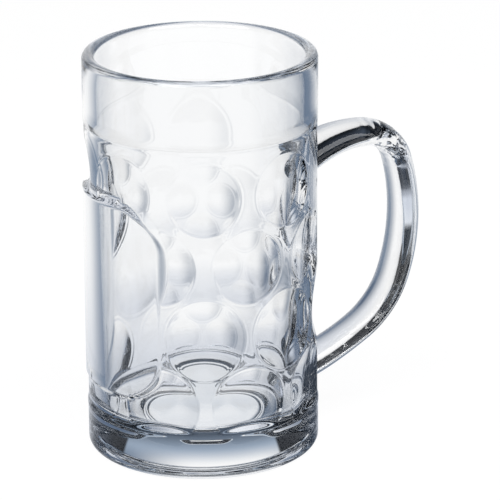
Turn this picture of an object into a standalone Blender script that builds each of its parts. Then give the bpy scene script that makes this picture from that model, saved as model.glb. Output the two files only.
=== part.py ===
"""Half-litre pressed glass mug: a dimpled vessel and the solid glass handle fused to it.

Metres, +Z up. The origin is the middle of the flat foot, the handle points along +X and the
plain label panel along -X, so the mug is symmetric about the XZ plane.
"""
import math

import bmesh
import bpy
from mathutils import Vector

# Vessel, outside
HEIGHT = 0.1545
BAND_RADIUS = 0.0440
BODY_RADIUS = 0.0437
BAND_EDGE_Z = 0.1285
BAND_STEP = 0.0004

# Foot: a collar with a sloping ledge on top and a rounded heel
LEDGE_Z = 0.0186
LEDGE_SLOPE = 1.05
LEDGE_REACH = 0.0060
LEDGE_LIFT = 0.00005
HEEL_RADIUS = 0.0034

# Vessel, inside
RIM_WALL = 0.0049
FLOOR_Z = 0.0185
FLOOR_FILLET = 0.0025
FLOOR_RADIUS = 0.0378

# Thumb-print eyes: height, outline radius, angle of the first one and the angles left plain,
# because the label panel or a handle root covers them
EYE_PITCH = 45.0
EYE_ROWS = (
    (0.1096, 0.0141, 22.5, (22.5, 337.5)),
    (0.0828, 0.0141, 0.0, (180.0,)),
    (0.0555, 0.0155, 22.5, (157.5, 202.5)),
    (0.0285, 0.0150, 0.0, (0.0, 180.0)),
)

# Label panel, as seen square on from -X
PANEL_RADIUS = 0.0446
PANEL_HALF_WIDTH = 0.0310
PANEL_BOTTOM_Z = 0.0290
PANEL_TOP_Z = 0.1045
PANEL_CORNER = 0.0165
PANEL_BACK_RADIUS = 0.0402

# Handle: the middle line is a chain of arcs (radius, degrees turned) in the XZ plane, the thickness
# across the line changes evenly from arc to arc, and the ear is wider towards its top
HANDLE_START = (0.0380, 0.1052)
HANDLE_HEADING = 36.7
HANDLE_ARCS = (
    (0.0456, -39.5),
    (0.0159, -71.4),
    (0.0799, -34.2),
    (0.0390, -38.9),
    (0.1189, -13.1),
)
HANDLE_HALF_THICKNESS = (0.0059, 0.0050, 0.0049, 0.0053, 0.00535, 0.0057)
HANDLE_WIDTH_LOW = (0.0300, 1.5)
HANDLE_WIDTH_HIGH = (0.1100, 2.0)
BOND_GAP = 0.0003

# Mesh fineness
TURN_STEPS = 96
ARC_STEPS = 6
CUTTER_SIDES = 96
HANDLE_STEPS_PER_ARC = 9
HANDLE_BEVEL_RESOLUTION = 6
MERGE = 0.00001


def clear_scene():
    for thing in list(bpy.data.objects):
        bpy.data.objects.remove(thing, do_unlink=True)


def new_collection(name):
    collection = bpy.data.collections.new(name)
    bpy.context.scene.collection.children.link(collection)
    return collection


def glass(name, colour):
    material = bpy.data.materials.new(name)
    material.use_nodes = True
    shader = material.node_tree.nodes["Principled BSDF"]
    shader.inputs["Base Color"].default_value = (*colour, 1.0)
    shader.inputs["Roughness"].default_value = 0.02
    shader.inputs["Metallic"].default_value = 0.0
    shader.inputs["IOR"].default_value = 1.52
    shader.inputs["Transmission Weight"].default_value = 1.0
    return material


def add_object(name, data, collection):
    thing = bpy.data.objects.new(name, data)
    collection.objects.link(thing)
    return thing


def as_guide(thing):
    """Cutters and guides shape the parts and are not parts themselves."""
    thing.hide_render = True
    thing.display_type = 'WIRE'
    return thing


def arc(centre, radius, start, end, steps):
    """Points of an arc in the XZ plane, angles in degrees from +X."""
    points = []
    for i in range(steps + 1):
        angle = math.radians(start + (end - start) * i / steps)
        points.append((centre[0] + radius * math.cos(angle), centre[1] + radius * math.sin(angle)))
    return points


def ledge_z(radius):
    """Height of the foot's sloping ledge at a distance from the axis."""
    return LEDGE_Z + (BAND_RADIUS - radius) / LEDGE_SLOPE


def vessel_profile():
    """From the middle of the inner floor, up the inside, over the rim and down the outside."""
    rim_round = RIM_WALL / 2
    points = [(0.0, FLOOR_Z)]
    points += arc((FLOOR_RADIUS - FLOOR_FILLET, FLOOR_Z + FLOOR_FILLET), FLOOR_FILLET, -90, 0, ARC_STEPS)
    points += arc((BAND_RADIUS - rim_round, HEIGHT - rim_round), rim_round, 180, 0, ARC_STEPS)
    points.append((BAND_RADIUS, BAND_EDGE_Z + BAND_STEP))
    points.append((BODY_RADIUS, BAND_EDGE_Z))
    points.append((BODY_RADIUS, ledge_z(BODY_RADIUS)))
    points.append((BAND_RADIUS, LEDGE_Z))
    points += arc((BAND_RADIUS - HEEL_RADIUS, HEEL_RADIUS), HEEL_RADIUS, 0, -90, ARC_STEPS)
    points.append((0.0, 0.0))
    return points


def turned(name, points, collection, closed=False):
    """A profile turned once round Z. The profile runs down its outer side."""
    count = len(points)
    edges = [(i, i + 1) for i in range(count - 1)]
    if closed:
        edges.append((count - 1, 0))
    mesh = bpy.data.meshes.new(name)
    mesh.from_pydata([(x, 0.0, z) for x, z in points], edges, [])
    thing = add_object(name, mesh, collection)
    screw = thing.modifiers.new("turn", 'SCREW')
    screw.axis = 'Z'
    screw.steps = TURN_STEPS
    screw.render_steps = TURN_STEPS
    screw.use_merge_vertices = True
    screw.merge_threshold = MERGE
    screw.use_smooth_shade = True
    return thing


def boolean(thing, operation, operand):
    cut = thing.modifiers.new(operation.lower(), 'BOOLEAN')
    cut.operation = operation
    cut.solver = 'EXACT'
    if isinstance(operand, bpy.types.Collection):
        cut.operand_type = 'COLLECTION'
        cut.collection = operand
    else:
        cut.object = operand


def eye_cutter(name, height, outline, angle, collection):
    """A bar lying across the wall. It is flat round the wall and hollows it up and down, so its cut in
    the round wall has a round outline."""
    depth = BODY_RADIUS * (1 - math.cos(outline / BODY_RADIUS))
    bar_radius = (outline ** 2 + depth ** 2) / (2 * depth)
    reach = BODY_RADIUS - depth + bar_radius
    mesh = bpy.data.meshes.new(name)
    shape = bmesh.new()
    bmesh.ops.create_cone(shape, cap_ends=True, segments=CUTTER_SIDES, radius1=bar_radius,
                          radius2=bar_radius, depth=3 * outline)
    shape.to_mesh(mesh)
    shape.free()
    cutter = as_guide(add_object(name, mesh, collection))
    turn = math.radians(angle)
    cutter.location = (reach * math.cos(turn), reach * math.sin(turn), height)
    cutter.rotation_euler = (math.radians(90), 0.0, turn)
    return cutter


def eye_cutters(collection, foot):
    for row, (height, outline, first, plain) in enumerate(EYE_ROWS):
        for i in range(round(360 / EYE_PITCH)):
            angle = first + EYE_PITCH * i
            if angle in plain:
                continue
            cutter = eye_cutter(f"eye_{row}_{i}", height, outline, angle, collection)
            if height - outline < LEDGE_Z:
                boolean(cutter, 'DIFFERENCE', foot)


def foot_guard(guides):
    """All the room below the foot's ledge. It is taken off the lowest eye cutters, so that these eyes
    end on the ledge and leave the foot round."""
    inner = BAND_RADIUS - LEDGE_REACH
    outer = BAND_RADIUS + LEDGE_REACH
    room = [
        (0.0, ledge_z(inner) + LEDGE_LIFT),
        (inner, ledge_z(inner) + LEDGE_LIFT),
        (outer, ledge_z(outer) + LEDGE_LIFT),
        (outer, -LEDGE_Z),
        (0.0, -LEDGE_Z),
    ]
    return as_guide(turned("foot_guard", room, guides))


def panel_outline():
    """Rounded rectangle in the plane square to X, as (y, z) points."""
    points = []
    middle_z = (PANEL_TOP_Z + PANEL_BOTTOM_Z) / 2
    for start, side, level in ((0, 1, 1), (90, -1, 1), (180, -1, -1), (270, 1, -1)):
        y = side * (PANEL_HALF_WIDTH - PANEL_CORNER)
        z = middle_z + level * ((PANEL_TOP_Z - PANEL_BOTTOM_Z) / 2 - PANEL_CORNER)
        points += arc((y, z), PANEL_CORNER, start, start + 90, ARC_STEPS)
    return points


def label_panel(guides):
    """The plain panel: the part of a round sleeve that a rounded outline, drawn through along X,
    leaves standing."""
    middle_z = (PANEL_TOP_Z + PANEL_BOTTOM_Z) / 2
    half = (PANEL_TOP_Z - PANEL_BOTTOM_Z) / 2 + PANEL_CORNER
    sleeve = [
        (PANEL_BACK_RADIUS, middle_z + half),
        (PANEL_RADIUS, middle_z + half),
        (PANEL_RADIUS, middle_z - half),
        (PANEL_BACK_RADIUS, middle_z - half),
    ]
    panel = as_guide(turned("label_panel", sleeve, guides, closed=True))
    mesh = bpy.data.meshes.new("panel_outline")
    shape = bmesh.new()
    ring = [shape.verts.new((0.0, y, z)) for y, z in panel_outline()]
    face = shape.faces.new(ring)
    grown = bmesh.ops.extrude_face_region(shape, geom=[face])["geom"]
    moved = [part for part in grown if isinstance(part, bmesh.types.BMVert)]
    bmesh.ops.translate(shape, verts=moved, vec=Vector((-2 * BAND_RADIUS, 0.0, 0.0)))
    bmesh.ops.recalc_face_normals(shape, faces=shape.faces[:])
    shape.to_mesh(mesh)
    shape.free()
    outline = as_guide(add_object("panel_outline", mesh, guides))
    boolean(panel, 'INTERSECT', outline)
    return panel


def make_vessel(parts, guides):
    cutters = new_collection("eye_cutters")
    eye_cutters(cutters, foot_guard(guides))
    vessel = turned("vessel", vessel_profile(), parts)
    vessel.data.materials.append(glass("vessel_glass", (0.95, 0.97, 0.98)))
    boolean(vessel, 'DIFFERENCE', cutters)
    boolean(vessel, 'UNION', label_panel(guides))
    return vessel


def handle_line():
    """Points of the middle line with the half thickness at each."""
    x, z = HANDLE_START
    heading = math.radians(HANDLE_HEADING)
    line = [(x, z, HANDLE_HALF_THICKNESS[0])]
    for number, (radius, degrees) in enumerate(HANDLE_ARCS):
        thin, thick = HANDLE_HALF_THICKNESS[number:number + 2]
        turn = math.radians(degrees) / HANDLE_STEPS_PER_ARC
        chord = 2 * radius * math.sin(abs(turn) / 2)
        for i in range(1, HANDLE_STEPS_PER_ARC + 1):
            x += chord * math.cos(heading + turn / 2)
            z += chord * math.sin(heading + turn / 2)
            heading += turn
            line.append((x, z, thin + (thick - thin) * i / HANDLE_STEPS_PER_ARC))
    return line


def mesh_from_curve(thing, collection):
    """The curve as a welded mesh under the same name, so that it can be cut."""
    name = thing.name
    graph = bpy.context.evaluated_depsgraph_get()
    mesh = bpy.data.meshes.new_from_object(thing.evaluated_get(graph))
    shape = bmesh.new()
    shape.from_mesh(mesh)
    bmesh.ops.remove_doubles(shape, verts=shape.verts[:], dist=MERGE)
    shape.to_mesh(mesh)
    shape.free()
    place = thing.matrix_world.copy()
    bpy.data.objects.remove(thing, do_unlink=True)
    solid = add_object(name, mesh, collection)
    solid.matrix_world = place
    return solid


def width_ratio(z):
    """Width of the ear over its thickness, at a height."""
    low_z, low = HANDLE_WIDTH_LOW
    high_z, high = HANDLE_WIDTH_HIGH
    part = min(max((z - low_z) / (high_z - low_z), 0.0), 1.0)
    return low + (high - low) * part


def handle_seat(guides):
    """The vessel's wall and foot, grown by the bonding gap: what the two handle roots stand off."""
    wall = BODY_RADIUS + BOND_GAP
    foot = BAND_RADIUS + BOND_GAP
    room = [
        (0.0, HEIGHT),
        (wall, HEIGHT),
        (wall, ledge_z(BODY_RADIUS) + BOND_GAP),
        (foot, LEDGE_Z + BOND_GAP),
        (foot, 0.0),
        (0.0, 0.0),
    ]
    return as_guide(turned("handle_seat", room, guides))


def make_handle(parts, guides):
    curve = bpy.data.curves.new("handle", 'CURVE')
    curve.dimensions = '3D'
    curve.bevel_depth = 1.0
    curve.bevel_resolution = HANDLE_BEVEL_RESOLUTION
    curve.use_fill_caps = True
    line = handle_line()
    spline = curve.splines.new('POLY')
    spline.points.add(len(line) - 1)
    for point, (x, z, half_thickness) in zip(spline.points, line):
        point.co = (x, 0.0, z, 1.0)
        point.radius = half_thickness
    rod = add_object("handle", curve, parts)
    bpy.context.view_layer.update()
    handle = mesh_from_curve(rod, parts)
    for vertex in handle.data.vertices:
        vertex.co.y *= width_ratio(vertex.co.z)
    handle.data.materials.clear()
    handle.data.materials.append(glass("handle_glass", (0.94, 0.96, 0.97)))
    handle.data.shade_smooth()
    boolean(handle, 'DIFFERENCE', handle_seat(guides))
    return handle


def main():
    clear_scene()
    parts = new_collection("glass_mug")
    guides = new_collection("guides")
    mug = add_object("mug_frame", None, parts)
    for part in (make_vessel(parts, guides), make_handle(parts, guides)):
        part.parent = mug


main()
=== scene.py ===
# %% [markdown]
# A half-litre beer mug of pressed glass: a heavy vessel with staggered rows of thumb-print eyes, and
# a solid ear handle fused to its side. The CAD frame gives the sizes and the places. Here the same
# forms are made again in a finer mesh with soft edges, because glass shows every facet twice: once
# on its surface and once more, bent, through the wall behind it.

# %% The frame
import math

import bmesh
import bpy
from mathutils import Matrix, Vector


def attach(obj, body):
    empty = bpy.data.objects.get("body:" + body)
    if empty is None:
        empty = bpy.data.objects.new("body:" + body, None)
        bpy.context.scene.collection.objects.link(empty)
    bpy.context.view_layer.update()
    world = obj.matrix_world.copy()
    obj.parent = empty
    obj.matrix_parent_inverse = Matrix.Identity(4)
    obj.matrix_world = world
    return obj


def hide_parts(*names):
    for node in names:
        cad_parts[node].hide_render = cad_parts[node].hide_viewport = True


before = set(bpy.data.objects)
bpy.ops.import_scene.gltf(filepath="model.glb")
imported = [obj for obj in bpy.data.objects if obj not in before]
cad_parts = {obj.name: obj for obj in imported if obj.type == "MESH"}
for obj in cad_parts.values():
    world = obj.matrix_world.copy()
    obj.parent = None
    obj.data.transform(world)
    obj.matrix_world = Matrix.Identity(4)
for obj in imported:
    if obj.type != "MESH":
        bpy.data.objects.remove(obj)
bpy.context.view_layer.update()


# %% [markdown]
# The camera comes first, because everything else is seen through it. It stands as the photograph's
# did: a long lens from about 1.3 m, looking down a little under 19 degrees, with the handle to the right.

# %% Camera
VIEW_AZIMUTH = math.radians(-24.5)
VIEW_ELEVATION = math.radians(18.883)
VIEW_ROLL = math.radians(-0.349)
VIEW_DISTANCE = 1.32678
VIEW_SIDE = 0.018223
VIEW_HEIGHT = 0.076156
LENS_MM = 252.8
SENSOR_MM = 36.0


def make_camera():
    right = Vector((math.cos(VIEW_AZIMUTH), math.sin(VIEW_AZIMUTH), 0.0))
    level = math.cos(VIEW_ELEVATION)
    back = Vector((math.sin(VIEW_AZIMUTH) * level, -math.cos(VIEW_AZIMUTH) * level,
                   math.sin(VIEW_ELEVATION)))
    axes = Matrix((right, back.cross(right), back)).transposed()
    target = right * VIEW_SIDE + Vector((0.0, 0.0, VIEW_HEIGHT))
    data = bpy.data.cameras.new("photo_camera")
    data.lens = LENS_MM
    data.sensor_width = SENSOR_MM
    camera = bpy.data.objects.new("photo_camera", data)
    bpy.context.scene.collection.objects.link(camera)
    turn = axes @ Matrix.Rotation(VIEW_ROLL, 3, 'Z')
    camera.matrix_world = Matrix.Translation(target + back * VIEW_DISTANCE) @ turn.to_4x4()
    bpy.context.scene.camera = camera
    return camera


camera = make_camera()
print("camera at", tuple(round(c, 3) for c in camera.matrix_world.translation))


# %% [markdown]
# Shader maths reads best as plain expressions. This small class wraps a node socket, so that sums on
# sockets add Math nodes, and one method adds any other node with its settings and its inputs.

# %% Node expressions
class Wire:
    def __init__(self, socket):
        self.socket = socket

    def node(self, kind, settings=None, **inputs):
        """A new node in the same tree. An input's name uses _ for a space."""
        node = self.socket.id_data.nodes.new(kind)
        for name, value in (settings or {}).items():
            setattr(node, name, value)
        for name, value in inputs.items():
            key = name.replace("_", " ")
            plug(node.inputs[int(key[1:]) if key[1:].isdigit() else key], value)
        return node

    def math(self, operation, *values):
        node = self.node('ShaderNodeMath', {"operation": operation})
        for socket, value in zip(node.inputs, values):
            plug(socket, value)
        return Wire(node.outputs[0])

    def __add__(self, other):
        return self.math('ADD', self, other)

    __radd__ = __add__

    def __mul__(self, other):
        return self.math('MULTIPLY', self, other)

    __rmul__ = __mul__

    def __sub__(self, other):
        return self.math('SUBTRACT', self, other)

    def __rsub__(self, other):
        return self.math('SUBTRACT', other, self)

    def __truediv__(self, other):
        return self.math('DIVIDE', self, other)

    def split(self):
        """The x, y and z of a vector."""
        return [Wire(output) for output in self.node('ShaderNodeSeparateXYZ', Vector=self).outputs]

    def step(self, low, high):
        """0 below low, 1 above high and a soft S between."""
        node = self.node('ShaderNodeMapRange', {"interpolation_type": 'SMOOTHSTEP'},
                         Value=self, From_Min=low, From_Max=high)
        return Wire(node.outputs["Result"])

    def mix(self, first, second):
        """first where this is 0 and second where it is 1, as a colour."""
        node = self.node('ShaderNodeMix', {"data_type": 'RGBA'}, i0=self, i6=first, i7=second)
        return Wire(node.outputs[2])


def plug(socket, value):
    if isinstance(value, Wire):
        socket.id_data.links.new(value.socket, socket)
    else:
        socket.default_value = value


def rgba(red, green, blue):
    return (red, green, blue, 1.0)


print("node expressions ready")


# %% [markdown]
# Glass has no look of its own: it shows its surroundings, bent. The photograph was lit as a bright field.
# A white table runs back behind the mug and falls off to cool grey at both sides. A white board with
# crisp edges stands at its end, and above and beside the board the room is dark. Clear glass is then white
# in the middle, and its edges, its foot and the ear are drawn in blue-grey and black. Out to the flanks the
# table is dark, with a pale wall where it ends, and in front of the mug it is white, so that the mug is
# clear from those sides too. The skin of the glass doesn't mirror that wall or the white front, which would
# lie as a veil over the black. A studio would set this up with a sheet of card and black flags. Here the
# world's colour depends on the direction of the ray. side is the sine of its bearing from the line of sight
# and ahead is the cosine. The spans are in degrees, except where the name says cosines.

# %% Surroundings near the table
WHITE = rgba(1.0, 1.0, 1.0)
GREY_LEFT = rgba(0.17, 0.23, 0.32)
GREY_RIGHT = rgba(0.15, 0.20, 0.28)
DARK_FLANK = rgba(0.03, 0.038, 0.05)
PALE_WALL = rgba(0.74, 0.78, 0.85)
WHITE_FRONT = rgba(0.95, 0.97, 1.0)
POOL_FADES_LEFT = (20, 66)
POOL_FADES_RIGHT = (1, 34)
FLANK_LEFT = (66, 84)
FLANK_RIGHT = (52, 72)
WALL_TOP = (11, 14)
WALL_FOOT = (22, 28)
FRONT_COSINES = (0.20, 0.60)


def sine(degrees):
    return math.sin(math.radians(degrees))


def fade(reach, span):
    """0 to 1 while reach, the sine of an angle, passes the two angles of the span."""
    return reach.step(sine(span[0]), sine(span[1]))


def pool_colour(side):
    """The bright pool behind the mug, which fades sooner on the right."""
    left = fade(0 - side, POOL_FADES_LEFT)
    right = fade(side, POOL_FADES_RIGHT)
    return right.mix(left.mix(WHITE, GREY_LEFT), GREY_RIGHT)


def ground_colour(side, ahead, z, mirrored):
    """The table and the pale wall. Where mirrored is 1, the wall and the white front are dark."""
    wall = fade(0 - z, WALL_TOP) * (1 - fade(0 - z, WALL_FOOT)) * (1 - mirrored)
    flank = fade(side, FLANK_RIGHT) + fade(0 - side, FLANK_LEFT)
    behind = flank.mix(pool_colour(side), wall.mix(DARK_FLANK, PALE_WALL))
    front = mirrored.mix(WHITE_FRONT, DARK_FLANK)
    return (0 - ahead).step(*FRONT_COSINES).mix(behind, front)


def bearing(x, y, length):
    right = x * math.cos(VIEW_AZIMUTH) + y * math.sin(VIEW_AZIMUTH)
    forward = y * math.cos(VIEW_AZIMUTH) - x * math.sin(VIEW_AZIMUTH)
    return right / length, forward / length


print("bright pool behind the mug, dark flanks with a pale wall, and a white front")


# %% [markdown]
# Above the table the same directions end on the board, on the room beside it or on the room over it.
# The board goes from white through a pale blue to the dark: that step is what the thick foot mirrors
# from its underside, so it sets the soft blue ramp across the middle of the foot. The board's two edges
# are the slanting ends of that ramp. Rays from the camera see plain white instead.

# %% Surroundings above the table
BOARD_LEFT = (-34, -32)
BOARD_RIGHT = (33, 35)
BOARD_TURNS_BLUE = (13, 26)
ROOM_STARTS = (22, 35)
HAZE_ENDS = (36, 60)
HAZE_SIDES = (15, 45)
HORIZON = (2, 6)
FRONT_ROOM_COSINES = (0.0, 0.5)
NEVER_ZERO = 0.0001
BESIDE = rgba(0.004, 0.005, 0.007)
FRONT_ROOM = rgba(0.012, 0.015, 0.02)
BOARD_BLUE = rgba(0.32, 0.40, 0.51)
HAZE = rgba(0.085, 0.11, 0.15)
ROOM_DARK = rgba(0.008, 0.010, 0.014)


def upright_colour(side, ahead, z):
    board = fade(side, BOARD_LEFT) * (1 - fade(side, BOARD_RIGHT))
    low = board.mix(BESIDE, pool_colour(side))
    blue = board.mix(BESIDE, BOARD_BLUE)
    board_ramp = fade(z, BOARD_TURNS_BLUE).mix(low, blue)
    behind = (0 - ahead).step(*FRONT_ROOM_COSINES).mix(board_ramp, FRONT_ROOM)
    wide = fade(side.math('ABSOLUTE', side), HAZE_SIDES)
    room = fade(z, HAZE_ENDS).mix(wide.mix(HAZE, ROOM_DARK), ROOM_DARK)
    return fade(z, ROOM_STARTS).mix(behind, room)


def make_surroundings():
    world = bpy.data.worlds.new("studio")
    world.use_nodes = True
    bpy.context.scene.world = world
    tree = world.node_tree
    tree.nodes.clear()
    direction = Wire(tree.nodes.new('ShaderNodeTexCoord').outputs["Generated"])
    x, y, z = direction.split()
    side, ahead = bearing(x, y, direction.math('SQRT', 1 + NEVER_ZERO - z * z))
    path = direction.node('ShaderNodeLightPath')
    mirrored = Wire(path.outputs["Is Reflection Ray"])
    ground = ground_colour(side, ahead, z, mirrored)
    seen = fade(z, HORIZON).mix(ground, upright_colour(side, ahead, z))
    shown = Wire(path.outputs["Is Camera Ray"]).mix(seen, WHITE)
    background = direction.node('ShaderNodeBackground', Color=shown)
    output = direction.node('ShaderNodeOutputWorld')
    tree.links.new(background.outputs[0], output.inputs["Surface"])
    return world


studio = make_surroundings()
print("surroundings:", len(studio.node_tree.nodes), "nodes")


# %% [markdown]
# Two soft boxes stand high on either side behind the camera. On glass they only leave soft glints on the
# rim, the ledge and the ear, and on the floor they cast the mug's faint shadow. Rays that come through the
# glass pass them by, because they would leave white specks in its dark bands.

# %% Soft boxes
SOFT_BOX_SIZE = 1.2
SOFT_BOX_AWAY = 1.7
SOFT_BOX_POWER = 14.0
SOFT_BOX_PLACES = (("left_soft_box", 215.0, 48.0), ("right_soft_box", 140.0, 55.0))


def make_soft_box(name, turn, elevation):
    """turn: degrees from the line of sight, seen from above and to the right."""
    heading = math.pi / 2 + VIEW_AZIMUTH - math.radians(turn)
    level = math.cos(math.radians(elevation))
    out = Vector((math.cos(heading) * level, math.sin(heading) * level, sine(elevation)))
    data = bpy.data.lights.new(name, 'AREA')
    data.shape = 'SQUARE'
    data.size = SOFT_BOX_SIZE
    data.energy = SOFT_BOX_POWER
    lamp = bpy.data.objects.new(name, data)
    bpy.context.scene.collection.objects.link(lamp)
    lamp.location = out * SOFT_BOX_AWAY
    lamp.rotation_euler = out.to_track_quat('Z', 'Y').to_euler()
    lamp.visible_transmission = False
    return lamp


for soft_box in SOFT_BOX_PLACES:
    lamp = make_soft_box(*soft_box)
    print(lamp.name, "at", tuple(round(c, 2) for c in lamp.location))


# %% [markdown]
# The floor is plain and pale. The camera sees it as white card with a faint shadow: most of its white is
# its own, and the rest is lit by the soft boxes, so that only this part goes missing in the shadow. Rays
# that come through the glass pass on to the surroundings, a little dimmed near the mug, where the card is
# shaded by it.

# %% Floor
FLOOR_SIZE = 6.0
FLOOR_DROP = 0.0002
FLOOR_GLOW = 0.955
FLOOR_LIT = 0.10
SHADE_UNDER = rgba(0.86, 0.88, 0.91)
SHADE_NEAR = rgba(0.70, 0.73, 0.79)
UNDER_REACH = (0.030, 0.050)
NEAR_REACH = (0.040, 0.260)


def floor_material():
    material = bpy.data.materials.new("pale_floor")
    material.use_nodes = True
    tree = material.node_tree
    tree.nodes.clear()
    place = Wire(tree.nodes.new('ShaderNodeTexCoord').outputs["Object"])
    x, y, _ = place.split()
    away = place.math('SQRT', x * x + y * y)
    near = away.step(*NEAR_REACH).mix(SHADE_NEAR, WHITE)
    shade = away.step(*UNDER_REACH).mix(SHADE_UNDER, near)
    through = place.node('ShaderNodeBsdfTransparent', Color=shade)
    glow = place.node('ShaderNodeEmission', Color=WHITE, Strength=FLOOR_GLOW)
    lit = place.node('ShaderNodeBsdfDiffuse', Color=rgba(FLOOR_LIT, FLOOR_LIT, FLOOR_LIT))
    card = place.node('ShaderNodeAddShader', i0=Wire(glow.outputs[0]), i1=Wire(lit.outputs[0]))
    path = place.node('ShaderNodeLightPath')
    choice = place.node('ShaderNodeMixShader', i0=Wire(path.outputs["Is Camera Ray"]),
                        i1=Wire(through.outputs[0]), i2=Wire(card.outputs[0]))
    output = place.node('ShaderNodeOutputMaterial')
    tree.links.new(choice.outputs[0], output.inputs["Surface"])
    return material


def make_floor():
    mesh = bpy.data.meshes.new("floor")
    shape = bmesh.new()
    bmesh.ops.create_grid(shape, x_segments=1, y_segments=1, size=FLOOR_SIZE / 2)
    bmesh.ops.translate(shape, verts=shape.verts, vec=(0.0, 0.0, -FLOOR_DROP))
    shape.to_mesh(mesh)
    shape.free()
    mesh.materials.append(floor_material())
    floor = bpy.data.objects.new("floor", mesh)
    bpy.context.scene.collection.objects.link(floor)
    return floor


make_floor()
print("floor", FLOOR_SIZE, "m square")


# %% [markdown]
# Both pieces are clear soda-lime glass, so one helper makes the bare material. Real pressed glass isn't
# optically flat: chilling against the iron mould leaves fine relief in the skin. It is far too shallow to
# model, and a Bump node bends the rays as it would.

# %% Clear glass
GLASS_IOR = 1.52
GLASS_TINT = rgba(0.995, 0.998, 1.0)
STREAK_HEIGHT = 0.00005


def make_glass(name):
    material = bpy.data.materials.new(name)
    material.use_nodes = True
    tree = material.node_tree
    shader = tree.nodes["Principled BSDF"]
    shader.inputs["Base Color"].default_value = GLASS_TINT
    shader.inputs["Roughness"].default_value = 0.0
    shader.inputs["IOR"].default_value = GLASS_IOR
    shader.inputs["Transmission Weight"].default_value = 1.0
    place = Wire(tree.nodes.new('ShaderNodeTexCoord').outputs["Object"])
    return material, shader, place


def noise(place, scale, detail, stretch=(1.0, 1.0, 1.0)):
    spread = place.node('ShaderNodeMapping', Vector=place, Scale=stretch)
    made = place.node('ShaderNodeTexNoise', Vector=Wire(spread.outputs[0]), Scale=scale, Detail=detail,
                      Roughness=0.45)
    return Wire(made.outputs[0])


def emboss(shader, place, relief):
    bump = place.node('ShaderNodeBump', Strength=1.0, Distance=1.0, Height=relief)
    plug(shader.inputs["Normal"], Wire(bump.outputs[0]))


print("clear glass with refractive index", GLASS_IOR)


# %% [markdown]
# The eyes are the thumb prints pressed into the wall: four rows of eight, each row turned half a pitch
# against the next. A row is its height, the radius of an eye, the angle of its first eye and the angles
# that stay plain, under the label panel or a root of the ear. The mould also leaves a thin raised
# lip round each eye. This cell draws those lips for the bump: the distance from the nearest eye's middle,
# measured on the unrolled wall, minus the eye's radius. The label panel and the foot have no lips.

# %% Eyes and their lips
BODY_RADIUS = 0.0437
EYE_PITCH = 45.0
EYE_ROWS = (
    (0.1096, 0.0141, 22.5, (22.5, 337.5)),
    (0.0828, 0.0141, 0.0, (180.0,)),
    (0.0555, 0.0155, 22.5, (157.5, 202.5)),
    (0.0285, 0.0150, 0.0, (0.0, 180.0)),
)
LIP_HEIGHT = 0.00010
LIP_WIDTH = 0.0012
LIP_MAX_X = (0.0310, 0.0500, 0.0500, 0.0403)
LIP_FOOT_Z = 0.0200
LIP_FADE = 0.0005
PANEL_BOTTOM_Z = 0.0290
PANEL_TOP_Z = 0.1045
PANEL_SIDE_X = (0.0300, 0.0308)


def past(value, limit):
    """0 short of the limit and 1 past it."""
    return value.step(limit - LIP_FADE, limit + LIP_FADE)


def eye_lips(x, y, z):
    """1 on the crest of a lip. Past its LIP_MAX_X a row has none, because its eye there is plain."""
    angle = x.math('ARCTAN2', y, x)
    lips = 0
    half = math.radians(EYE_PITCH / 2)
    for (height, outline, first, _), limit in zip(EYE_ROWS, LIP_MAX_X):
        across = x.math('WRAP', angle - math.radians(first), half, -half) * BODY_RADIUS
        up = z - height
        away = x.math('SQRT', across * across + up * up)
        lip = 1 - x.math('ABSOLUTE', away - outline).step(0.0, LIP_WIDTH)
        lips = lip * (1 - past(x, limit)) + lips
    panel = (0 - x).step(*PANEL_SIDE_X) * past(z, PANEL_BOTTOM_Z) * (1 - past(z, PANEL_TOP_Z))
    return lips * (1 - panel) * past(z, LIP_FOOT_Z)


print(sum(round(360 / EYE_PITCH) - len(row[3]) for row in EYE_ROWS), "eyes in", len(EYE_ROWS), "rows")


# %% [markdown]
# The vessel's skin has upright streaks, drawn out by the plunger, and the lips round the eyes on the
# outside, where fire polishing has taken most of the streaks away. The outer part of the flat ring that the
# mug stands on is scuffed by use, so it is a little rough.

# %% Vessel glass
OUTER_SKIN = (0.0397, 0.0402)
WALL_SKIN = (0.0350, 0.0375)
ABOVE_FLOOR_Z = (0.0190, 0.0230)
STREAK_SCALE = 110.0
STREAK_STRETCH = (1.0, 1.0, 0.1)
FIRE_POLISH = 0.6
SCUFF = 0.12
SCUFF_SCALE = 900.0
SCUFF_STARTS = (0.0318, 0.0326)
SCUFF_ENDS = (0.0400, 0.0408)
SCUFF_TOP_Z = (0.0001, 0.0003)


def vessel_glass():
    material, shader, place = make_glass("clear_vessel_glass")
    x, y, z = place.split()
    radius = place.math('SQRT', x * x + y * y)
    outside = radius.step(*OUTER_SKIN)
    walls = radius.step(*WALL_SKIN) * z.step(*ABOVE_FLOOR_Z)
    streaks = noise(place, STREAK_SCALE, 0.5, STREAK_STRETCH) * walls * STREAK_HEIGHT
    lips = eye_lips(x, y, z) * outside * LIP_HEIGHT
    emboss(shader, place, streaks * (1 - outside * FIRE_POLISH) + lips)
    ring = radius.step(*SCUFF_STARTS) * (1 - radius.step(*SCUFF_ENDS)) * (1 - z.step(*SCUFF_TOP_Z))
    plug(shader.inputs["Roughness"], ring * noise(place, SCUFF_SCALE, 2.0) * SCUFF)
    return material


clear_vessel_glass = vessel_glass()
print(clear_vessel_glass.name, "has", len(clear_vessel_glass.node_tree.nodes), "nodes")


# %% [markdown]
# The vessel begins as the line that a pen would draw down half of its section: the floor of the hollow,
# the inner wall, the round rim, the plain band with its groove, the wall that carries the eyes, the foot
# with its heel, and the underside. The underside stands on a flat ring. Inside it the mould left three
# shallow rings and a middle that hangs down a little, and the thick foot magnifies them into the figure
# that shows through the floor. The pen uses bmesh operators, so arcs come out as even steps.

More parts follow.
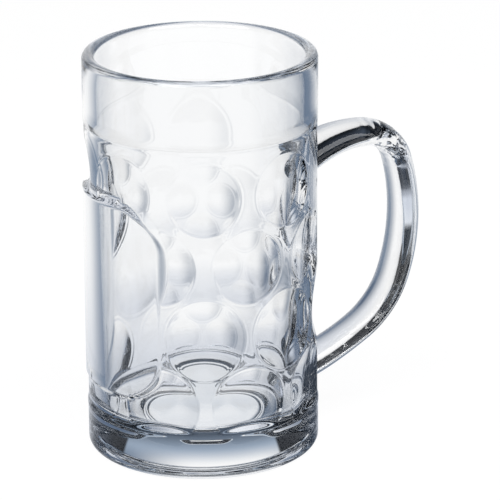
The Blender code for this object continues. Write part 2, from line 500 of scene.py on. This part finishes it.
# %% Vessel profile
HEIGHT = 0.1545
BAND_RADIUS = 0.0440
BAND_EDGE_Z = 0.1285
BAND_EDGE = 0.0003
BAND_GROOVE = 0.0002
GROOVE_END_Z = BAND_EDGE_Z - 5 * BAND_EDGE
FOOT_ROWS_Z = 0.0225
FOOT_END_Z = 0.0165
FOOT_JOIN = 0.0003
HEEL_RADIUS = 0.0034
RIM_WALL = 0.0049
FLOOR_Z = 0.0185
FLOOR_FILLET = 0.0025
FLOOR_RADIUS = 0.0378
UNDER_RINGS = ((0.0288, 0.0004), (0.0270, -0.0003), (0.0256, 0.0007))
UNDER_RING_EDGE = 0.0006
UNDER_SAG_Z = 0.0001


class Outline:
    """A pen that draws a profile in the XZ plane with bmesh operators."""

    def __init__(self, shape, x, z):
        self.shape = shape
        self.end = shape.verts.new((x, 0.0, z))

    def line(self, x, z, rows=1):
        step = (Vector((x, 0.0, z)) - self.end.co) / rows
        for _ in range(rows):
            made = bmesh.ops.extrude_vert_indiv(self.shape, verts=[self.end])
            self.end = made["verts"][0]
            bmesh.ops.translate(self.shape, verts=[self.end], vec=step)
        return self

    def arc(self, centre_x, centre_z, degrees, rows):
        made = bmesh.ops.spin(self.shape, geom=[self.end], cent=(centre_x, 0.0, centre_z),
                              axis=(0.0, -1.0, 0.0), angle=math.radians(degrees), steps=rows)
        self.end = made["geom_last"][0]
        return self


def draw_profile(shape):
    rim = RIM_WALL / 2
    pen = Outline(shape, 0.0, FLOOR_Z)
    pen.line(FLOOR_RADIUS - FLOOR_FILLET, FLOOR_Z, 6)
    pen.arc(FLOOR_RADIUS - FLOOR_FILLET, FLOOR_Z + FLOOR_FILLET, 90, 12)
    pen.line(BAND_RADIUS - RIM_WALL, HEIGHT - rim, 16)
    pen.arc(BAND_RADIUS - rim, HEIGHT - rim, -180, 24)
    pen.line(BAND_RADIUS, BAND_EDGE_Z + BAND_EDGE, 6)
    pen.line(BODY_RADIUS - BAND_GROOVE, BAND_EDGE_Z - BAND_EDGE, 3)
    pen.line(BODY_RADIUS, GROOVE_END_Z, 3)
    pen.line(BODY_RADIUS, EYE_ROWS[0][0], 20)
    pen.line(BODY_RADIUS, EYE_ROWS[1][0], 48)
    pen.line(BODY_RADIUS, EYE_ROWS[2][0], 30)
    pen.line(BODY_RADIUS, FOOT_ROWS_Z, 34)
    pen.line(BODY_RADIUS, FOOT_END_Z, 18)
    pen.line(BAND_RADIUS, FOOT_END_Z - FOOT_JOIN)
    pen.line(BAND_RADIUS, HEEL_RADIUS, 4)
    pen.arc(BAND_RADIUS - HEEL_RADIUS, HEEL_RADIUS, -90, 18)
    draw_underside(pen)


def draw_underside(pen):
    z = 0.0
    for ring, drop in UNDER_RINGS:
        pen.line(ring + UNDER_RING_EDGE / 2, z, 2)
        z += drop
        pen.line(ring - UNDER_RING_EDGE / 2, z, 3)
    radius = pen.end.co.x
    sag = z - UNDER_SAG_Z
    bulge = (radius ** 2 + sag ** 2) / (2 * sag)
    pen.arc(0.0, UNDER_SAG_Z + bulge, -math.degrees(math.asin(radius / bulge)), 14)


print("section from", FLOOR_Z, "m inside to the rim at", HEIGHT, "m and down to the foot")


# %% [markdown]
# Where two forms of pressed glass meet, the corner is never sharp. A soft minimum and a soft maximum join
# two radii with a small blend, so an eye runs into the wall, and the wall into the panel, over a few tenths
# of a millimetre. Each eye is the print of a boss in the mould, which is round from top to bottom and
# straight from side to side. The wall's radius is the least of the plain wall and of the bosses, seen along
# the ray from the axis at that angle and height.

# %% Eyes as radii
EYE_SOFT = 0.0006
EYE_REACH = 1.4


def soft_min(a, b, width):
    blend = max(width - abs(a - b), 0.0) / width
    return min(a, b) - blend * blend * width / 4


def soft_max(a, b, width):
    return -soft_min(-a, -b, width)


def eye_cut(row, angle, z):
    """Radius to which the boss of the nearest eye in a row presses the wall, or None where none does."""
    height, outline, first, plain = row
    number = round((math.degrees(angle) - first) / EYE_PITCH)
    middle = first + EYE_PITCH * number
    if abs(z - height) > EYE_REACH * outline or middle % 360 in plain:
        return None
    depth = BODY_RADIUS * (1 - math.cos(outline / BODY_RADIUS))
    boss = (outline ** 2 + depth ** 2) / (2 * depth)
    nose = math.sqrt(boss ** 2 - (z - height) ** 2)
    return (BODY_RADIUS - depth + boss - nose) / math.cos(angle - math.radians(middle))


def eyes_radius(angle, z):
    radius = BODY_RADIUS
    for row in EYE_ROWS:
        cut = eye_cut(row, angle, z)
        if cut is not None:
            radius = soft_min(radius, cut, EYE_SOFT)
    return radius


eye_middle = math.radians(EYE_ROWS[0][2] + EYE_PITCH)
eye_bottom = eyes_radius(eye_middle, EYE_ROWS[0][0])
print("eye depth", round(1000 * (BODY_RADIUS - eye_bottom), 2), "mm")


# %% [markdown]
# The label panel is the plain shield opposite the ear. It stands about a millimetre proud of the wall, and
# its top and bottom corners are round. Seen square on it has straight sides, so at an angle its edge lies
# where the ray from the axis reaches that half width. Its face thins towards its sides and its ends slope.
# Low down, the wall runs out over a sloping ledge to the round foot, and the lowest eyes end on that ledge.

# %% Label panel and whole wall
PANEL_RADIUS = 0.0446
PANEL_HALF_WIDTH = 0.0310
PANEL_CORNER = 0.0165
PANEL_SOFT = 0.0004
PANEL_TAPER = 0.0006
PANEL_TAPER_SINE = 0.7
PANEL_SLOPE = 1.0
PANEL_SECTOR_COSINE = -0.5
SMALLEST_SINE = 0.01
FOOT_EDGE_Z = 0.0186
FOOT_SLOPE = 1.05
FOOT_SOFT = 0.0010
FOOT_BLEND = 0.0020


def panel_radius(angle, z):
    middle = (PANEL_TOP_Z + PANEL_BOTTOM_Z) / 2
    straight = (PANEL_TOP_Z - PANEL_BOTTOM_Z) / 2 - PANEL_CORNER
    over = min(max(abs(z - middle) - straight, 0.0), PANEL_CORNER)
    width = PANEL_HALF_WIDTH - PANEL_CORNER + math.sqrt(PANEL_CORNER ** 2 - over ** 2)
    face = PANEL_RADIUS - PANEL_TAPER * (math.sin(angle) / PANEL_TAPER_SINE) ** 4
    radius = soft_min(face, width / max(abs(math.sin(angle)), SMALLEST_SINE), PANEL_SOFT)
    end = min(PANEL_TOP_Z - z, z - PANEL_BOTTOM_Z)
    return soft_min(radius, BODY_RADIUS + PANEL_SLOPE * end, PANEL_SOFT)


def wall_radius(angle, z):
    radius = eyes_radius(angle, z)
    if math.cos(angle) < PANEL_SECTOR_COSINE:
        radius = soft_max(radius, panel_radius(angle, z), PANEL_SOFT)
    if z < FOOT_ROWS_Z + FOOT_BLEND:
        foot = soft_min(BAND_RADIUS, BAND_RADIUS - FOOT_SLOPE * (z - FOOT_EDGE_Z), FOOT_SOFT)
        radius = soft_max(radius, foot, FOOT_SOFT)
    return radius


panel_face = wall_radius(math.pi, (PANEL_TOP_Z + PANEL_BOTTOM_Z) / 2)
print("panel stands", round(1000 * (panel_face - BODY_RADIUS), 2), "mm proud")


# %% [markdown]
# A finished piece takes its material, rides on the root body and stands in for its CAD node. Both pieces
# use this.

# %% Finished pieces
MERGE = 0.00001


def finish_piece(name, shape, material, node):
    mesh = bpy.data.meshes.new(name)
    for face in shape.faces:
        face.smooth = True
    shape.to_mesh(mesh)
    shape.free()
    mesh.materials.append(material)
    piece = bpy.data.objects.new(name, mesh)
    bpy.context.scene.collection.objects.link(piece)
    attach(piece, "root")
    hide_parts(node)
    mesh.calc_loop_triangles()
    print(name, "has", len(mesh.loop_triangles), "triangles")
    return piece


print("pieces are welded at", MERGE * 1000, "mm")


# %% [markdown]
# One eighth of the vessel is spun from the profile and copied round, which keeps the seam and the poles
# closed. Then each vertex of the wall moves along its radius to where the wall lies. The columns
# are drawn together towards the panel, so that its edges get more of them. The inner wall stays smooth: the
# plunger that presses it has no eyes.

# %% Vessel
SECTORS = 8
SECTOR_STEPS = 44
GATHER = 0.4
OUTER_WALL = 0.0416


def spin_vessel():
    shape = bmesh.new()
    draw_profile(shape)
    sector = math.tau / SECTORS
    bmesh.ops.spin(shape, geom=shape.verts[:] + shape.edges[:], cent=(0, 0, 0), axis=(0, 0, 1),
                   angle=sector, steps=SECTOR_STEPS)
    first = shape.verts[:] + shape.edges[:] + shape.faces[:]
    for number in range(1, SECTORS):
        copy = bmesh.ops.duplicate(shape, geom=first)["geom"]
        bmesh.ops.rotate(shape, cent=(0, 0, 0), matrix=Matrix.Rotation(sector * number, 3, 'Z'),
                         verts=[part for part in copy if isinstance(part, bmesh.types.BMVert)])
    bmesh.ops.remove_doubles(shape, verts=shape.verts[:], dist=MERGE)
    bmesh.ops.recalc_face_normals(shape, faces=shape.faces[:])
    return shape


def press_wall(vertex):
    x, y, z = vertex.co
    radius = math.hypot(x, y)
    if radius < MERGE:
        return
    angle = math.atan2(y, x)
    angle += GATHER * math.sin(angle)
    if radius > OUTER_WALL and FOOT_END_Z - MERGE < z < GROOVE_END_Z:
        radius += wall_radius(angle, z) - BODY_RADIUS
    vertex.co = (radius * math.cos(angle), radius * math.sin(angle), z)


def make_vessel(glass):
    shape = spin_vessel()
    for vertex in shape.verts:
        press_wall(vertex)
    return finish_piece("vessel_body", shape, glass, "vessel")


vessel = make_vessel(clear_vessel_glass)


# %% [markdown]
# The ear is a gob of its own, drawn out and bent by hand tools while hot. Its skin is a little uneven,
# a mould seam runs along its middle, and the tight bend at its top is wrinkled where the glass was
# pushed together. All three are relief for the bump.

# %% Ear glass
SEAM_HEIGHT = 0.00005
SEAM_WIDTH = 0.0007
BEND = (0.0790, 0.1090)
BEND_CORE = 0.0044
BEND_REACH = 0.0110
WRINKLE_SCALE = 230.0
WRINKLE_HEIGHT = 0.0018
SKIN_SCALE = 150.0


def handle_glass():
    material, shader, place = make_glass("clear_handle_glass")
    x, y, z = place.split()
    skin = noise(place, SKIN_SCALE, 1.5) * STREAK_HEIGHT
    seam = (1 - place.math('ABSOLUTE', y).step(0.0, SEAM_WIDTH)) * SEAM_HEIGHT
    bend_x = x - BEND[0]
    bend_z = z - BEND[1]
    off = place.math('SQRT', bend_x * bend_x + bend_z * bend_z)
    pushed = (1 - off.step(BEND_CORE, BEND_REACH)) * WRINKLE_HEIGHT
    wrinkles = noise(place, WRINKLE_SCALE, 1.0) * pushed
    emboss(shader, place, skin + seam + wrinkles)
    return material


clear_handle_glass = handle_glass()
print(clear_handle_glass.name, "has", len(clear_handle_glass.node_tree.nodes), "nodes")


# %% [markdown]
# The middle line of the ear is a chain of five arcs in the plane through the axis: up over the fingers,
# round the tight bend, down the back of the hand and in to the lower root. The half thickness passes
# smoothly from arc to arc, and the ear is wider in proportion towards its top, where the hand carries it.

# %% Middle line of the ear
HANDLE_START = (0.0380, 0.1052)
HANDLE_HEADING = 36.7
HANDLE_ARCS = (
    (0.0456, -39.5),
    (0.0159, -71.4),
    (0.0799, -34.2),
    (0.0390, -38.9),
    (0.1189, -13.1),
)
HANDLE_HALF_THICKNESS = (0.0059, 0.0050, 0.0049, 0.0053, 0.00535, 0.0057)
HANDLE_WIDTH_LOW = (0.0300, 1.5)
HANDLE_WIDTH_HIGH = (0.1100, 2.0)
HANDLE_STEP = 0.0012


def handle_line():
    x, z = HANDLE_START
    heading = math.radians(HANDLE_HEADING)
    line = [(x, z, heading, HANDLE_HALF_THICKNESS[0])]
    for number, (radius, degrees) in enumerate(HANDLE_ARCS):
        first, last = HANDLE_HALF_THICKNESS[number:number + 2]
        steps = max(8, round(radius * abs(math.radians(degrees)) / HANDLE_STEP))
        turn = math.radians(degrees) / steps
        chord = 2 * radius * math.sin(abs(turn) / 2)
        for i in range(1, steps + 1):
            x += chord * math.cos(heading + turn / 2)
            z += chord * math.sin(heading + turn / 2)
            heading += turn
            part = i / steps
            part = part * part * (3 - 2 * part)
            line.append((x, z, heading, first + (last - first) * part))
    return line


def width_ratio(z):
    """Width of the ear over its thickness, at a height."""
    low_z, low = HANDLE_WIDTH_LOW
    high_z, high = HANDLE_WIDTH_HIGH
    part = min(max((z - low_z) / (high_z - low_z), 0.0), 1.0)
    return low + (high - low) * part


def ring_place(x, z, heading, half):
    """Where a ring of radius 1 goes, and how far it is stretched, at one stop."""
    along = Vector((math.cos(heading), 0.0, math.sin(heading)))
    side = Vector((0.0, 1.0, 0.0))
    out = along.cross(side)
    turn = Matrix((out * half, side * half * width_ratio(z), along)).transposed().to_4x4()
    return Matrix.Translation((x, 0.0, z)) @ turn


print("middle line of the ear in", len(handle_line()), "stops")


# %% [markdown]
# At both ends the ear runs into the vessel, and on the real mug the hot glass flows together there. Every
# line of vertices is drawn back along itself to the wall, so that the root ends in the curve where the two
# meet, and a cap with the wall's own curve closes it. The two pieces stay apart by the thickness of a hair,
# because glass skins that lie in one place render as dark patches.

# %% Roots of the ear
SEAT_RADIUS = 0.04375
SEAT_HALVINGS = 30
CAP_RINGS = (0.75, 0.67, 0.5)
ROOTS_APART_Z = 0.06


def grow_ring(shape, rim):
    """Extrudes a rim once and gives the new ring's vertices and edges."""
    made = bmesh.ops.extrude_edge_only(shape, edges=rim)["geom"]
    ring = [part for part in made if isinstance(part, bmesh.types.BMVert)]
    edges = [part for part in made if isinstance(part, bmesh.types.BMEdge)]
    held = set(ring)
    return ring, [edge for edge in edges if held.issuperset(edge.verts)]


def seat_root(rings):
    """Every line of vertices that starts inside the vessel is drawn back to the wall."""
    for line in zip(*rings):
        inside = 0
        while math.hypot(line[inside].co.x, line[inside].co.y) < SEAT_RADIUS:
            inside += 1
        if inside == 0:
            continue
        low, high = line[inside - 1].co.copy(), line[inside].co.copy()
        for _ in range(SEAT_HALVINGS):
            middle = (low + high) / 2
            if math.hypot(middle.x, middle.y) < SEAT_RADIUS:
                low = middle
            else:
                high = middle
        for vertex in line[:inside]:
            vertex.co = high


def close_roots(shape):
    """A curved cap on each root: the rim drawn in to the middle, ring by ring, on the seat."""
    open_edges = [edge for edge in shape.edges if edge.is_boundary]
    for upper in (True, False):
        rim = [edge for edge in open_edges if (edge.verts[0].co.z > ROOTS_APART_Z) == upper]
        corners = list({vertex for edge in rim for vertex in edge.verts})
        middle = sum((vertex.co for vertex in corners), Vector()) / len(corners)
        for part in CAP_RINGS:
            ring, rim = grow_ring(shape, rim)
            for vertex in ring:
                y, z = (middle + (vertex.co - middle) * part).yz
                vertex.co = (math.sqrt(SEAT_RADIUS ** 2 - y * y), y, z)
        bmesh.ops.contextual_create(shape, geom=rim)


print("roots end", round(1000 * (SEAT_RADIUS - BODY_RADIUS), 2), "mm off the wall")


# %% [markdown]
# The ear grows from one ring of vertices, as the real one is drawn out from its gob: the ring is extruded
# from stop to stop, and each new ring is moved by the difference between the two places.

# %% Ear
HANDLE_SIDES = 64


def sweep_ear(shape):
    line = handle_line()
    ring = bmesh.ops.create_circle(shape, cap_ends=False, segments=HANDLE_SIDES, radius=1.0)["verts"]
    before = ring_place(*line[0])
    bmesh.ops.transform(shape, matrix=before, verts=ring)
    rings = [ring]
    rim = shape.edges[:]
    for stop in line[1:]:
        ring, rim = grow_ring(shape, rim)
        after = ring_place(*stop)
        bmesh.ops.transform(shape, matrix=after @ before.inverted(), verts=ring)
        before = after
        rings.append(ring)
    return rings


def make_handle(glass):
    shape = bmesh.new()
    rings = sweep_ear(shape)
    seat_root(rings)
    seat_root(rings[::-1])
    bmesh.ops.remove_doubles(shape, verts=shape.verts[:], dist=MERGE)
    for edge in [edge for edge in shape.edges if edge.is_boundary]:
        edge.smooth = False
    close_roots(shape)
    bmesh.ops.recalc_face_normals(shape, faces=shape.faces[:])
    return finish_piece("handle_ear", shape, glass, "handle")


handle = make_handle(clear_handle_glass)


# %% [markdown]
# Light crosses eight or more surfaces on its way through the foot, so the path tracer gets enough bounces
# for all of them. A smaller limit would turn the foot and the ear black where light still comes through.

# %% Render settings for glass
scene = bpy.context.scene
scene.view_settings.view_transform = 'Standard'
scene.cycles.max_bounces = 32
scene.cycles.transmission_bounces = 32
scene.cycles.glossy_bounces = 16
scene.cycles.transparent_max_bounces = 32
print("up to", scene.cycles.max_bounces, "bounces")
